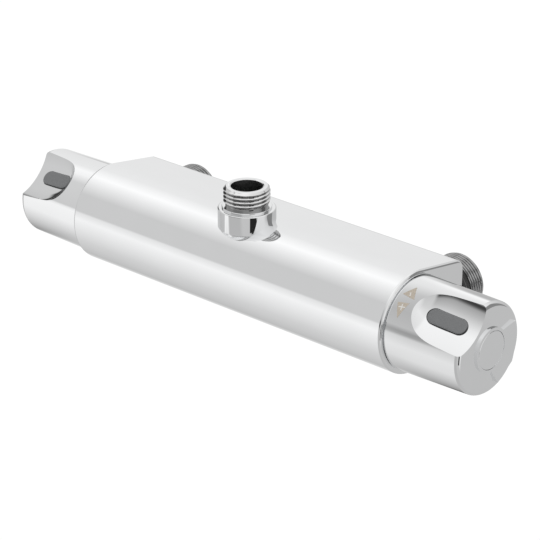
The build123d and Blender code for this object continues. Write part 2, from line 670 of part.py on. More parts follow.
def side_pieces(prefix, place):
    """Handle, button, cap, screw and stop ring of one side."""
    return {
        prefix + "_handle": place(handle()),
        prefix + "_button": place(button()),
        prefix + "_button_spring": place(button_spring()),
        prefix + "_cap": place(end_cap()),
        prefix + "_screw": place(handle_screw()),
        prefix + "_stop_ring": place(stop_ring()),
    }


def inlet_pieces(name, side):
    """Nipple, washer, strainer and non-return valve of one inlet."""
    return {
        "inlet_nipple_" + name: inlet_nipple(side),
        "inlet_washer_" + name: inlet_washer(side),
        "inlet_strainer_" + name: inlet_strainer(side),
        "check_cage_" + name: check_cage(side),
        "check_poppet_" + name: check_poppet(side),
        "check_spring_" + name: check_spring(side),
    }


def mixer():
    """Every piece of the mixer, by name."""
    warm_start = WARM_FLOOR + CARTRIDGE_FLOOR_GAP
    warm_rings = sleeve_rings(WARM_BORE_RADIUS, warm_start, ORING_ROWS)
    flow_rings = sleeve_rings(FLOW_BORE_RADIUS, FLOW_FLOOR, FLOW_ORING_ROWS)
    pieces = {
        "valve_body": valve_body(),
        "outlet_nipple": outlet_nipple(),
        "outlet_washer": outlet_washer(),
        "thermostat_housing": right(thermostat_housing()),
        "thermostat_o_rings": Compound(children=[right(ring) for ring in warm_rings]),
        "thermostat_shuttle": right(thermostat_shuttle()),
        "thermostat_element": right(thermostat_element()),
        "thermostat_spring": right(thermostat_spring()),
        "thermostat_nut": right(retaining_nut(WARM_BORE_RADIUS)),
        "thermostat_spindle": right(spindle(NUT_START)),
        "flow_housing": left(flow_housing()),
        "flow_o_rings": Compound(children=[left(ring) for ring in flow_rings]),
        "flow_fixed_disc": left(flow_fixed_disc()),
        "flow_moving_disc": left(flow_moving_disc()),
        "flow_seal": left(flow_seal()),
        "flow_nut": left(retaining_nut(FLOW_BORE_RADIUS)),
        "flow_spindle": left(flow_spindle()),
    }
    pieces.update(side_pieces("temperature", right))
    pieces.update(side_pieces("flow", left))
    pieces.update(inlet_pieces("left", -1))
    pieces.update(inlet_pieces("right", 1))
    return pieces


os.makedirs("parts", exist_ok=True)
for node, shape in mixer().items():
    export_step(shape, "parts/" + node + ".step")
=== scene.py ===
import json
import math

import bmesh
import bpy
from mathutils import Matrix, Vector


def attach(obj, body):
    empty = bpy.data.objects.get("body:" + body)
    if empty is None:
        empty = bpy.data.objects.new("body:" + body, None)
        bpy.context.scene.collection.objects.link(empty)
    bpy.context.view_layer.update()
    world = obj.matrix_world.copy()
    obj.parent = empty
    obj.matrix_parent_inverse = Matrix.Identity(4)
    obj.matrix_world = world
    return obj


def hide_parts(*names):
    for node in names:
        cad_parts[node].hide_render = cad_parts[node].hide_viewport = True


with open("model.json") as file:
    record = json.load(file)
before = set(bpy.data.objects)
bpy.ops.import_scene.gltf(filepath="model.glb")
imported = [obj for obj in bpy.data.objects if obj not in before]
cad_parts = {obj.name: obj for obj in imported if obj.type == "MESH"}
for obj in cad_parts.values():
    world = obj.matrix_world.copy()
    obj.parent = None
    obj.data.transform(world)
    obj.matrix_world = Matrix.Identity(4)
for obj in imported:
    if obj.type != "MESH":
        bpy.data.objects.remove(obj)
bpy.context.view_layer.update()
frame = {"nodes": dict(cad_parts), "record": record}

MM = 0.001
AXIS_Y = -48.5
OUTLET_Y = AXIS_Y - 4.3

# Camera
VIEW_AZIMUTH = 42.36
VIEW_ELEVATION = 23.76
VIEW_DISTANCE = 1038.71
VIEW_TARGET = (9.85, AXIS_Y, -0.53)
VIEW_LENS = 155.5


def new_material(name):
    material = bpy.data.materials.new(name)
    material.use_nodes = True
    tree = material.node_tree
    return material, tree, tree.nodes["Principled BSDF"]


def add_node(tree, kind, **sockets):
    node = tree.nodes.new(kind)
    for key, value in sockets.items():
        node.inputs[key.replace("_", " ")].default_value = value
    return node


def noise_node(tree, scale, detail=3.0):
    place = tree.nodes.new("ShaderNodeTexCoord")
    noise = add_node(tree, "ShaderNodeTexNoise", Scale=scale, Detail=detail)
    tree.links.new(place.outputs["Object"], noise.inputs["Vector"])
    return noise


def ramp_node(tree, source, stops):
    ramp = tree.nodes.new("ShaderNodeValToRGB")
    elements = ramp.color_ramp.elements
    while len(elements) < len(stops):
        elements.new(0.5)
    for element, (position, colour) in zip(elements, stops):
        element.position = position
        element.color = (*colour, 1)
    tree.links.new(source, ramp.inputs["Fac"])
    return ramp


def bump_node(tree, height, strength, distance):
    bump = add_node(tree, "ShaderNodeBump", Strength=strength, Distance=distance)
    tree.links.new(height, bump.inputs["Height"])
    return bump


def chrome(name, tint=(0.90, 0.905, 0.91), rough=(0.012, 0.03), wave=0.006):
    """Plated metal: faint cloudiness in the polish and the slight waviness of a buffed casting."""
    material, tree, shader = new_material(name)
    shader.inputs["Metallic"].default_value = 1.0
    cloud = noise_node(tree, 60.0)
    colour = ramp_node(tree, cloud.outputs["Fac"], [(0.3, tuple(c * 0.985 for c in tint)), (0.7, tint)])
    tree.links.new(colour.outputs["Color"], shader.inputs["Base Color"])
    haze = ramp_node(tree, cloud.outputs["Fac"], [(0.3, (rough[0],) * 3), (0.7, (rough[1],) * 3)])
    tree.links.new(haze.outputs["Color"], shader.inputs["Roughness"])
    ripple = noise_node(tree, 35.0, 1.0)
    bump = bump_node(tree, ripple.outputs["Fac"], wave, 0.001)
    tree.links.new(bump.outputs["Normal"], shader.inputs["Normal"])
    return material


def rubber(name, colour, rough=0.55, grain=900.0):
    """Moulded rubber: fine eroded grain and slight mottling."""
    material, tree, shader = new_material(name)
    speck = noise_node(tree, grain)
    tone = ramp_node(tree, speck.outputs["Fac"], [(0.3, tuple(c * 0.92 for c in colour)), (0.7, colour)])
    tree.links.new(tone.outputs["Color"], shader.inputs["Base Color"])
    shader.inputs["Roughness"].default_value = rough
    bump = bump_node(tree, speck.outputs["Fac"], 0.25, 0.00005)
    tree.links.new(bump.outputs["Normal"], shader.inputs["Normal"])
    return material


def plastic(name, colour, rough=0.35):
    material, tree, shader = new_material(name)
    speck = noise_node(tree, 500.0)
    tone = ramp_node(tree, speck.outputs["Fac"], [(0.3, tuple(c * 0.96 for c in colour)), (0.7, colour)])
    tree.links.new(tone.outputs["Color"], shader.inputs["Base Color"])
    shader.inputs["Roughness"].default_value = rough
    bump = bump_node(tree, speck.outputs["Fac"], 0.1, 0.00003)
    tree.links.new(bump.outputs["Normal"], shader.inputs["Normal"])
    return material


def turned_metal(name, colour, rough=0.25):
    """Turned metal with fine tool rings seen as changing roughness."""
    material, tree, shader = new_material(name)
    shader.inputs["Metallic"].default_value = 1.0
    rings = noise_node(tree, 1500.0, 1.0)
    tone = ramp_node(tree, rings.outputs["Fac"], [(0.35, tuple(c * 0.9 for c in colour)), (0.65, colour)])
    tree.links.new(tone.outputs["Color"], shader.inputs["Base Color"])
    haze = ramp_node(tree, rings.outputs["Fac"], [(0.3, (rough * 0.8,) * 3), (0.7, (rough * 1.3,) * 3)])
    tree.links.new(haze.outputs["Color"], shader.inputs["Roughness"])
    return material


CHROME = chrome("polished_chrome")
THREAD_CHROME = chrome("thread_chrome", tint=(0.86, 0.86, 0.86), rough=(0.03, 0.06))
# Painted shade: darkened chrome for the outlet thread's roots.
THREAD_ROOT_SHADE = chrome("thread_root", tint=(0.34, 0.34, 0.34), rough=(0.08, 0.14))
# Painted shade: darker chrome for the inlet threads on the wall side.
WALL_THREAD_SHADE = chrome("wall_thread", tint=(0.46, 0.46, 0.46), rough=(0.12, 0.2))
# Painted shade: near-black chrome for the inlet thread's roots and the flange behind the bar.
WALL_ROOT_SHADE = chrome("wall_thread_root_shade", tint=(0.15, 0.15, 0.15), rough=(0.2, 0.3))
GREY = rubber("grey_rubber", (0.21, 0.215, 0.22), 0.42)
# Painted shade: a dark copy of the grey rubber for the button's lower sides.
GREY_SIDE_PAINTED_SHADE = rubber("grey_rubber_painted_shade", (0.035, 0.036, 0.038), 0.5)
BLACK = rubber("black_rubber", (0.03, 0.03, 0.03))
WHITE_PLASTIC = plastic("cartridge_plastic", (0.80, 0.81, 0.79))
BRASS = turned_metal("plain_brass", (0.75, 0.58, 0.30))
STEEL = turned_metal("spring_steel", (0.60, 0.61, 0.62))
CERAMIC = plastic("white_ceramic", (0.86, 0.85, 0.83), 0.2)
TAN = plastic("tan_mark", (0.60, 0.53, 0.44), 0.45)
# Painted shade: near-black metal for the inside of the bores.
BORE_SHADE = turned_metal("bore_painted_shade", (0.10, 0.10, 0.10), 0.45)
PALE = plastic("pale_mark", (0.86, 0.84, 0.80), 0.4)


def link_piece(name, mesh, body, material, replaced=()):
    """Adds a mesh as a piece that rides on a body and may stand for CAD nodes."""
    piece = bpy.data.objects.new(name, mesh)
    bpy.context.scene.collection.objects.link(piece)
    if not mesh.materials:
        mesh.materials.append(material)
    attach(piece, body)
    if replaced:
        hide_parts(*replaced)
    return piece


def outward(point):
    """Side-piece coordinates (to the wall, up, outward) in mm to the row frame in metres."""
    return Vector((point[2], point[0] + AXIS_Y, point[1])) * MM


def grid_mesh(name, rows, place, closed=True, caps=(False, False), sharp=35.0):
    """Skin over rows of points; each row is a ring when closed. Caps fill the first and last row."""
    bm = bmesh.new()
    rings = [[bm.verts.new(place(point)) for point in row] for row in rows]
    count = len(rings[0])
    steps = count if closed else count - 1
    for low, high in zip(rings, rings[1:]):
        for i in range(steps):
            j = (i + 1) % count
            bm.faces.new((low[i], low[j], high[j], high[i]))
    if caps[0]:
        bm.faces.new(list(reversed(rings[0])))
    if caps[1]:
        bm.faces.new(rings[-1])
    return finish_mesh(name, bm, sharp)


def finish_mesh(name, bm, sharp):
    """Welds, turns faces outward and marks edges sharper than the angle."""
    bmesh.ops.remove_doubles(bm, verts=bm.verts, dist=1e-6)
    bmesh.ops.recalc_face_normals(bm, faces=bm.faces)
    mesh = bpy.data.meshes.new(name)
    bm.to_mesh(mesh)
    bm.free()
    mesh.polygons.foreach_set("use_smooth", [True] * len(mesh.polygons))
    mesh.set_sharp_from_angle(angle=math.radians(sharp))
    return mesh


def rounding(centre, radius, turns):
    """Points on a profile's rounding at turns in degrees from the first axis."""
    x, y = centre
    turns = [math.radians(turn) for turn in turns]
    return [(x + radius * math.cos(turn), y + radius * math.sin(turn)) for turn in turns]


def arc(centre, radius, start, end, count):
    """Evenly spaced points on an arc of a profile, angles in degrees."""
    return rounding(centre, radius, [start + (end - start) * step / count for step in range(count + 1)])


def ring(radius, height, count):
    """Circle of points about the third axis."""
    turns = [2 * math.pi * i / count for i in range(count)]
    return [(radius * math.cos(turn), radius * math.sin(turn), height) for turn in turns]


def turned(name, profile, place, segments=192, caps=(False, False), sharp=35.0):
    """Turned piece from (radius, height) points."""
    return grid_mesh(name, [ring(r, h, segments) for r, h in profile], place, True, caps, sharp)


def turned_left(point):
    """Side-piece coordinates in mm to the row frame in metres, at the left end."""
    return Vector((-point[2], point[0] + AXIS_Y, point[1])) * MM


def inlet_place(side):
    """Placing function for pieces drawn along the inlet's axis, measured from the bar axis."""
    return lambda point: Vector((side * 80.0 + point[0], AXIS_Y + point[2], -point[1])) * MM


def outlet_place(point):
    return Vector((point[0], point[1] + OUTLET_Y, point[2])) * MM


BAR_HALF = 93.0
BAR_RADIUS = 23.3
BAR_BACK = 32.5
BAR_TAPER = math.radians(8.7)
BAR_CORNER = 5.0
BAR_EDGE = 1.2
EDGE_STEPS = 8
WARM_BORE = (17.5, 52.0)
FLOW_BORE = (14.5, 40.0)
FEED_RADIUS = 9.0
FEED_FLOOR = 16.0
SEAT_RADIUS = 11.5
SEAT_FLOOR = 22.9
SEAT_END = 34.0
FEED_END = SEAT_FLOOR + 0.2


def section(inset):
    """Outline of the bar's section, moved inward by inset."""
    tilt = 90 - math.degrees(BAR_TAPER)
    centre_x = BAR_BACK - BAR_CORNER
    centre_y = (BAR_RADIUS - BAR_CORNER - math.sin(BAR_TAPER) * centre_x) / math.cos(BAR_TAPER)
    corner = BAR_CORNER - inset
    points = arc((0, 0), BAR_RADIUS - inset, tilt, 360 - tilt, 150)
    lower = arc((centre_x, -centre_y), corner, -tilt, 0, 12)
    upper = arc((centre_x, centre_y), corner, 0, tilt, 12)

    def between(start, end, count):
        return [
            (start[0] + (end[0] - start[0]) * i / count, start[1] + (end[1] - start[1]) * i / count)
            for i in range(1, count)
        ]

    points += between(points[-1], lower[0], 8) + lower
    points += between(lower[-1], upper[0], 10) + upper
    points += between(upper[-1], points[0], 8)
    return points


def bar_shell():
    """Bar with rounded end edges and both cartridge bores."""
    rows = []
    for sign, (bore, depth) in ((-1, FLOW_BORE), (1, WARM_BORE)):
        outer = section(BAR_EDGE)
        mouth = [(bore * x / math.hypot(x, y), bore * y / math.hypot(x, y)) for x, y in outer]
        end = [
            [(0.02 * x, 0.02 * y, sign * (BAR_HALF - depth)) for x, y in mouth],
            [(x, y, sign * (BAR_HALF - depth)) for x, y in mouth],
            [(x, y, sign * BAR_HALF) for x, y in mouth],
        ]
        for step in range(EDGE_STEPS + 1):
            turn = math.radians(90 * step / EDGE_STEPS)
            inset = BAR_EDGE * (1 - math.sin(turn))
            height = BAR_HALF - BAR_EDGE + BAR_EDGE * math.cos(turn)
            end.append([(x, y, sign * height) for x, y in section(inset)])
        rows.append(end)
    inner = [[(x, y, z) for x, y in section(0)] for z in (-60, -30, 0, 30, 60)]
    return grid_mesh("bar", rows[0] + inner + rows[1][::-1], outward, True, (True, True), 30.0)


def combine(piece, others, operation="DIFFERENCE"):
    """Joins, takes away or keeps the overlap with other pieces in a piece's mesh for good."""
    for other in others:
        change = piece.modifiers.new(operation, "BOOLEAN")
        change.operation = operation
        change.solver = "EXACT"
        change.object = other
    bpy.context.view_layer.update()
    graph = bpy.context.evaluated_depsgraph_get()
    mesh = bpy.data.meshes.new_from_object(piece.evaluated_get(graph))
    piece.modifiers.clear()
    piece.data = mesh
    for other in others:
        bpy.data.objects.remove(other)
    return mesh


def loose(name, mesh):
    piece = bpy.data.objects.new(name, mesh)
    bpy.context.scene.collection.objects.link(piece)
    return piece


def make_bar():
    """Bar casting with the seats of both inlets and the feed bores behind them."""
    bar = loose("bar", bar_shell())
    bores = []
    for side in (-1, 1):
        for radius, start, end in ((SEAT_RADIUS, SEAT_FLOOR, SEAT_END), (FEED_RADIUS, FEED_FLOOR, FEED_END)):
            profile = [(radius, start), (radius, end)]
            bores.append(loose("bore", turned("bore", profile, inlet_place(side), 96, (True, True))))
    mesh = combine(bar, bores)
    bpy.data.objects.remove(bar)
    mesh.materials.clear()
    mesh.set_sharp_from_angle(angle=math.radians(30))
    piece = link_piece("bar_casting", mesh, "mixer_body", CHROME, ["valve_body"])
    weigh = piece.modifiers.new("weigh", "WEIGHTED_NORMAL")
    weigh.keep_sharp = True


THREAD_SIDES = 144
THREAD_STEPS = 12
THREAD_LEAD = 1.0
FLANK_SLOPE = 1.25
FLANK_FLAT = 0.125
EDGE_TURNS = (22, 45, 67, 90)

OUTLET_BORE = 7.1
OUTLET_START = 9.05
SPIGOT_RADIUS = 9.5
STEM_START = 14.5
STEM_RADIUS = 11.0
COLLAR_START = 18.9
COLLAR_FOOT_EDGE = 1.0
COLLAR_RADIUS = 13.0
COLLAR_EDGE = 0.5
COLLAR_END = 28.6
STEP_RADIUS = 11.2
STEP_EDGE = 0.15
STEP_END = 29.5
NECK_RADIUS = 9.55
OUTLET_CREST = 10.478
OUTLET_DEPTH = 1.0
OUTLET_PITCH = 1.814
OUTLET_THREAD_START = 30.7
OUTLET_END = 38.7

INLET_BORE = 9.0
INLET_START = 23.05
SHANK_RADIUS = 11.45
FLANGE_RADIUS = 14.6
FLANGE_EDGE = 0.3
FLANGE_START = 34.0
FLANGE_END = 36.5
UNDERCUT_RADIUS = 12.1
INLET_CREST = 13.0
INLET_DEPTH = 0.85
INLET_PITCH = 1.5
INLET_THREAD_START = 37.9
INLET_END = 48.5


def thread_rows(crest, depth, pitch, start, end):
    """Rings of a helical thread along the third axis, with a chamfered lead at its end."""
    rows = []
    total = round((end - start) / pitch * THREAD_STEPS)
    for step in range(total + 1):
        height = start + (end - start) * step / total
        row = []
        for i in range(THREAD_SIDES):
            turn = 2 * math.pi * i / THREAD_SIDES
            phase = ((height - start) / pitch - i / THREAD_SIDES) % 1.0
            flank = min(1.0, max(0.0, FLANK_SLOPE * (1 - abs(2 * phase - 1)) - FLANK_FLAT))
            radius = crest - depth * flank
            lead = height - (end - THREAD_LEAD)
            radius = min(radius, crest - lead if lead > 0 else radius)
            run_in = (height - start) / (0.5 * pitch)
            radius = min(radius, crest - depth + depth * run_in)
            row.append((radius * math.cos(turn), radius * math.sin(turn), height))
        rows.append(row)
    return rows


def rings_of(profile):
    return [ring(r, h, THREAD_SIDES) for r, h in profile]


def paint_inside(mesh, radius, centre, axis, material, low, high):
    """Gives faces nearer to an axis than radius, and between two heights on it, another material."""
    mesh.materials.append(material)
    for polygon in mesh.polygons:
        offset = polygon.center - centre
        height = offset.dot(axis)
        if (offset - axis * height).length < radius * MM and low * MM < height < high * MM:
            polygon.material_index = len(mesh.materials) - 1


def make_outlet():
    """Outlet: spigot, stem, collar and threaded neck; painted shade darkens its bore and thread roots."""
    foot = (COLLAR_RADIUS - COLLAR_FOOT_EDGE, COLLAR_START + COLLAR_FOOT_EDGE)
    body = [(OUTLET_BORE, OUTLET_START), (SPIGOT_RADIUS, OUTLET_START), (SPIGOT_RADIUS, STEM_START)]
    body += [(STEM_RADIUS, STEM_START), (STEM_RADIUS, COLLAR_START)]
    body += arc(foot, COLLAR_FOOT_EDGE, -90, 0, 6)
    body += [(COLLAR_RADIUS, COLLAR_END - COLLAR_EDGE)]
    body += rounding((COLLAR_RADIUS - COLLAR_EDGE, COLLAR_END - COLLAR_EDGE), COLLAR_EDGE, EDGE_TURNS)
    body += [(STEP_RADIUS, COLLAR_END), (STEP_RADIUS, STEP_END - STEP_EDGE)]
    body += [(STEP_RADIUS - STEP_EDGE, STEP_END)]
    body += [(NECK_RADIUS, STEP_END), (NECK_RADIUS, OUTLET_THREAD_START - 0.1)]
    rows = rings_of(body)
    rows += thread_rows(OUTLET_CREST, OUTLET_DEPTH, OUTLET_PITCH, OUTLET_THREAD_START, OUTLET_END - 0.15)
    rows += rings_of([(OUTLET_BORE + 2.2, OUTLET_END), (OUTLET_BORE + 0.55, OUTLET_END)])
    rows += rings_of([(OUTLET_BORE + 0.1, OUTLET_END - 0.25), (OUTLET_BORE, OUTLET_END - 0.6)])
    rows += rings_of([(OUTLET_BORE, 24.0), (OUTLET_BORE, OUTLET_START)])
    mesh = grid_mesh("outlet", rows, outlet_place, True, (False, False), 32.0)
    mesh.materials.append(CHROME)
    centre, axis = outlet_place((0, 0, 0)), Vector((0, 0, 1))
    paint_inside(mesh, 10.6, centre, axis, THREAD_CHROME, 29.6, 38.6)
    # Painted shade in the outlet thread's roots.
    paint_inside(mesh, OUTLET_CREST - OUTLET_DEPTH / 2, centre, axis, THREAD_ROOT_SHADE, 29.6, 37.6)
    # Painted shade inside the outlet's bore.
    paint_inside(mesh, OUTLET_BORE + 0.05, centre, axis, BORE_SHADE, 0, 40)
    link_piece("outlet_union", mesh, "mixer_body", CHROME, ["outlet_nipple"])


def make_inlet(side, name):
    """Inlet: shank in the bar, flange and threaded neck toward the wall."""
    place = inlet_place(side)
    body = [(INLET_BORE, INLET_START), (SHANK_RADIUS, INLET_START), (SHANK_RADIUS, FLANGE_START)]
    body += [(FLANGE_RADIUS - FLANGE_EDGE, FLANGE_START), (FLANGE_RADIUS, FLANGE_START + FLANGE_EDGE)]
    body += [(FLANGE_RADIUS, FLANGE_END - FLANGE_EDGE), (FLANGE_RADIUS - FLANGE_EDGE, FLANGE_END)]
    body += [(UNDERCUT_RADIUS, FLANGE_END), (UNDERCUT_RADIUS, INLET_THREAD_START - 0.2)]
    rows = rings_of(body)
    rows += thread_rows(INLET_CREST, INLET_DEPTH, INLET_PITCH, INLET_THREAD_START, INLET_END - 0.2)
    rows += rings_of([(11.8, INLET_END), (INLET_BORE + 0.5, INLET_END), (INLET_BORE, INLET_END - 0.4)])
    rows += rings_of([(INLET_BORE, 40.0), (INLET_BORE, INLET_START)])
    mesh = grid_mesh("inlet", rows, place, True, (False, False), 32.0)
    mesh.materials.append(CHROME)
    centre, axis = place((0, 0, 0)), Vector((0, 1, 0))
    # Painted shade: the inlet's thread takes the darker chrome.
    paint_inside(mesh, 13.1, centre, axis, WALL_THREAD_SHADE, 37.6, 48.4)
    # Painted shade in the inlet thread's roots and around the flange and undercut behind the bar.
    paint_inside(mesh, 12.58, centre, axis, WALL_ROOT_SHADE, 37.6, 47.5)
    paint_inside(mesh, 15.0, centre, axis, WALL_ROOT_SHADE, 34.1, 37.6)
    # Painted shade inside the inlet's bore.
    paint_inside(mesh, INLET_BORE + 0.1, centre, axis, BORE_SHADE, 0, 50)
    replaced = ["inlet_nipple_" + name]
    link_piece("inlet_union_" + name, mesh, "mixer_body", CHROME, replaced)


GRIP_START = 93.4
GRIP_LENGTH = 39.6
GRIP_END = GRIP_START + GRIP_LENGTH
GRIP_RADIUS = 21.3
GRIP_END_RADIUS = 20.6
GRIP_EDGE = 2.2
GRIP_CROWN = 0.7
GRIP_ROOM = (18.0, 8.0)
SCOOP_TURN = math.radians(44.0)
SCOOP_RADIUS = 20.0
SCOOP_FROM = GRIP_START + 26.4
SCOOP_HEIGHT = 33.0
SCOOP_FALL = math.radians(4.1)
FLOOR_RADIUS = 30.0
FLOOR_HEIGHT = 14.5
FLOOR_FALL = math.radians(8.0)
SCOOP_SOFT = 2.5
SCOOP_HALF = 19.6
SCOOP_PITCH = 0.35
BUTTON_LENGTH = 19.0
BUTTON_WIDTH = 7.2
BUTTON_MIDDLE = GRIP_START + 14.9 + BUTTON_LENGTH / 2
BUTTON_SIDE = 0.8
BUTTON_TOP = 15.9
BUTTON_EDGE = 0.8
BUTTON_CROWN = 0.05
LIP_EXTRA = 1.8
LIP_BOTTOM = 10.4
LIP_TOP = 11.4
WELL_FLOOR = 8.28
WELL_TOP = 11.52
WELL_GAP = 0.24
CAP_RADIUS = 8.6
CAP_EDGE = 0.35
CAP_DEPTH = 1.8
STUD_RADIUS = 4.6
STUD_DEPTH = 6.8
WEB_RISE = 0.7
WEB_DEPTH = 4.0
WEB_RADIUS = 17.6
WEB_DIP = 1.4
WEB_TURNS = (62, 125, 163)
HUB_RADIUS = 10.0
HUB_GAP = 10
REGISTER_RADII = (18.4, 20.5)
REGISTER_ENDS = (92.9, 93.3)


def grip_profile():
    """Outside of the handle as (radius, distance along the bar axis)."""
    edge = GRIP_END - GRIP_CROWN
    shoulder = edge - GRIP_EDGE
    flat = GRIP_END_RADIUS - GRIP_EDGE
    room, depth = GRIP_ROOM
    points = [(0.2, GRIP_START + depth), (room, GRIP_START + depth), (room, GRIP_START)]
    points += [(GRIP_RADIUS - 0.3, GRIP_START), (GRIP_RADIUS - 0.09, GRIP_START + 0.09)]
    points.append((GRIP_RADIUS, GRIP_START + 0.3))
    for step in range(1, 8):
        t = step / 8
        radius = GRIP_RADIUS + (GRIP_END_RADIUS - GRIP_RADIUS) * t
        points.append((radius, GRIP_START + (shoulder - GRIP_START) * t))
    points += arc((flat, shoulder), GRIP_EDGE, 0, 90, 14)
    sag = (flat**2 + GRIP_CROWN**2) / (2 * GRIP_CROWN)
    for step in range(9, 0, -1):
        r = flat * step / 10
        points.append((r, GRIP_END - sag + math.sqrt(sag**2 - r**2)))
    return points + [(0.2, GRIP_END)]


def scoop_point(side, along, height):
    """Scoop coordinates to side-piece coordinates."""
    cos, sin = math.cos(SCOOP_TURN), math.sin(SCOOP_TURN)
    return (side * cos - height * sin, side * sin + height * cos, along)


def scoop_height(side, along):
    """Height of the scoop: a ball's track that runs out over the end, softly joined to a falling floor."""
    out = along - SCOOP_FROM
    walls = SCOOP_HEIGHT
    if out < 0:
        walls -= math.sqrt(max(0.0, SCOOP_RADIUS**2 - side**2 - out**2))
    else:
        walls -= out * math.tan(SCOOP_FALL)
        walls -= math.sqrt(SCOOP_RADIUS**2 - side**2) / math.cos(SCOOP_FALL)
    floor = FLOOR_HEIGHT + FLOOR_RADIUS - out * math.tan(FLOOR_FALL)
    floor -= math.sqrt(FLOOR_RADIUS**2 - side**2) / math.cos(FLOOR_FALL)
    meet = max(SCOOP_SOFT - abs(walls - floor), 0.0) / SCOOP_SOFT
    return max(walls, floor) + meet**2 * SCOOP_SOFT / 4


def scoop_cutter(place):
    """Solid above the scoop's surface."""
    count = round(2 * SCOOP_HALF / SCOOP_PITCH)
    sides = [SCOOP_HALF - 2 * SCOOP_HALF * i / count for i in range(count + 1)]
    start, end = SCOOP_FROM - SCOOP_RADIUS, GRIP_END + 4.0
    rows = []
    for step in range(round((end - start) / SCOOP_PITCH) + 1):
        along = start + SCOOP_PITCH * step
        row = [scoop_point(side, along, scoop_height(side, along)) for side in sides]
        row += [scoop_point(side, along, SCOOP_HEIGHT + 6) for side in (-SCOOP_HALF, SCOOP_HALF)]
        rows.append(row)
    return loose("scoop", grid_mesh("scoop", rows, place, True, (True, True), 60.0))


def slot_outline(length, width, count=32):
    """Round-ended outline as (side, along) about the button's middle."""
    half = (length - width) / 2
    points = []
    for middle, start in ((half, 0), (-half, 180)):
        for step in range(count + 1):
            turn = math.radians(start + 180 * step / count)
            points.append((BUTTON_SIDE + width / 2 * math.cos(turn), middle + width / 2 * math.sin(turn)))
    return points


def slot_solid(name, layers, place, sharp=35.0):
    """Skin over round-ended outlines given as (length, width, height, share of the button's fall)."""
    rows = []
    for length, width, height, fall in layers:
        rows.append([
            scoop_point(side, BUTTON_MIDDLE + out, height - out * fall * math.tan(FLOOR_FALL))
            for side, out in slot_outline(length, width)
        ])
    return grid_mesh(name, rows, place, True, (True, True), sharp)


def web_solid(place):
    """Raised web on the handle's end."""
    def spot(angle, radius):
        turn = math.radians(angle)
        return (radius * math.sin(turn), radius * math.cos(turn))

    start, middle, end = WEB_TURNS
    outline = []
    for step in range(25):
        t = step / 24
        outline.append(spot(start + (middle - start) * t, WEB_RADIUS - WEB_DIP * math.sin(math.pi * t)))
    outline.append(spot(end, WEB_RADIUS))
    around = 360 - (end - start) - 2 * HUB_GAP
    outline += [spot(end + HUB_GAP + around * step / 48, HUB_RADIUS) for step in range(1, 48)]
    rows = [[(x, y, z) for x, y in outline] for z in (GRIP_END - WEB_DEPTH, GRIP_END + WEB_RISE)]
    return loose("web", grid_mesh("web", rows, place, True, (True, True), 180.0))


def make_handle(name, place, body):
    """Handle: turned outside with a web on its end, less the scoop and the button's well."""
    blank = loose(name, turned(name, grip_profile(), place, 240, (True, True), 25.0))
    combine(blank, [web_solid(place)], "UNION")
    cutters = [scoop_cutter(place)]
    for extra, top in ((WELL_GAP, 24.0), (WELL_GAP + LIP_EXTRA, WELL_TOP)):
        size = (BUTTON_LENGTH + extra, BUTTON_WIDTH + extra)
        cutters.append(loose("well", slot_solid("well", [(*size, WELL_FLOOR, 0), (*size, top, 0)], place)))
    profile = [(CAP_RADIUS + 0.05, GRIP_END + WEB_RISE - CAP_DEPTH), (CAP_RADIUS + 0.05, GRIP_END + 3.0)]
    cutters.append(loose("seat", turned("seat", profile, place, 120, (True, True))))
    mesh = combine(blank, cutters)
    bpy.data.objects.remove(blank)
    mesh.materials.clear()
    mesh.polygons.foreach_set("use_smooth", [True] * len(mesh.polygons))
    mesh.set_sharp_from_angle(angle=math.radians(12))
    piece = link_piece(name + "_grip", mesh, body, CHROME, [name])
    weigh = piece.modifiers.new("weigh", "WEIGHTED_NORMAL")
    weigh.keep_sharp = True


def make_button(name, place, body):
    """Grey rubber button: falling top with rounded edges over a retaining lip; its side faces that do not
    turn upward get a dark copy of the rubber as painted shade.
    """
    lip = (BUTTON_LENGTH + LIP_EXTRA, BUTTON_WIDTH + LIP_EXTRA)
    shoulder = BUTTON_TOP - BUTTON_CROWN - BUTTON_EDGE
    layers = [(*lip, LIP_BOTTOM, 0), (*lip, LIP_TOP, 0), (BUTTON_LENGTH, BUTTON_WIDTH, LIP_TOP, 0)]
    for step in range(10):
        turn = math.radians(90 * step / 9)
        inset = 2 * BUTTON_EDGE * (1 - math.cos(turn))
        height = shoulder + BUTTON_EDGE * math.sin(turn)
        layers.append((BUTTON_LENGTH - inset, BUTTON_WIDTH - inset, height, 1))
    for step in range(1, 8):
        inset = 2 * BUTTON_EDGE + step * 0.7
        height = shoulder + BUTTON_EDGE + BUTTON_CROWN * math.sin(math.pi / 2 * step / 7)
        layers.append((BUTTON_LENGTH - inset, BUTTON_WIDTH - inset, height, 1))
    mesh = slot_solid(name, layers, place, 40.0)
    mesh.materials.append(GREY)
    mesh.materials.append(GREY_SIDE_PAINTED_SHADE)
    up = (Vector(place(scoop_point(0, 0, 1))) - Vector(place((0, 0, 0)))).normalized()
    # Painted shade: side faces that do not face up take the dark rubber copy.
    for polygon in mesh.polygons:
        polygon.material_index = 1 if polygon.normal.dot(up) < 0.6 and polygon.normal.z < 0.45 else 0
    link_piece(name + "_pad", mesh, body, GREY, [name])


def make_register(name, place):
    """Ring on the bar's end that closes the joint under the handle's rim."""
    inner, outer = REGISTER_RADII
    low, high = REGISTER_ENDS
    profile = [(inner, low), (outer, low), (outer, high), (inner, high), (inner, low)]
    mesh = turned(name, profile, place, 160)
    link_piece(name, mesh, "mixer_body", CHROME)


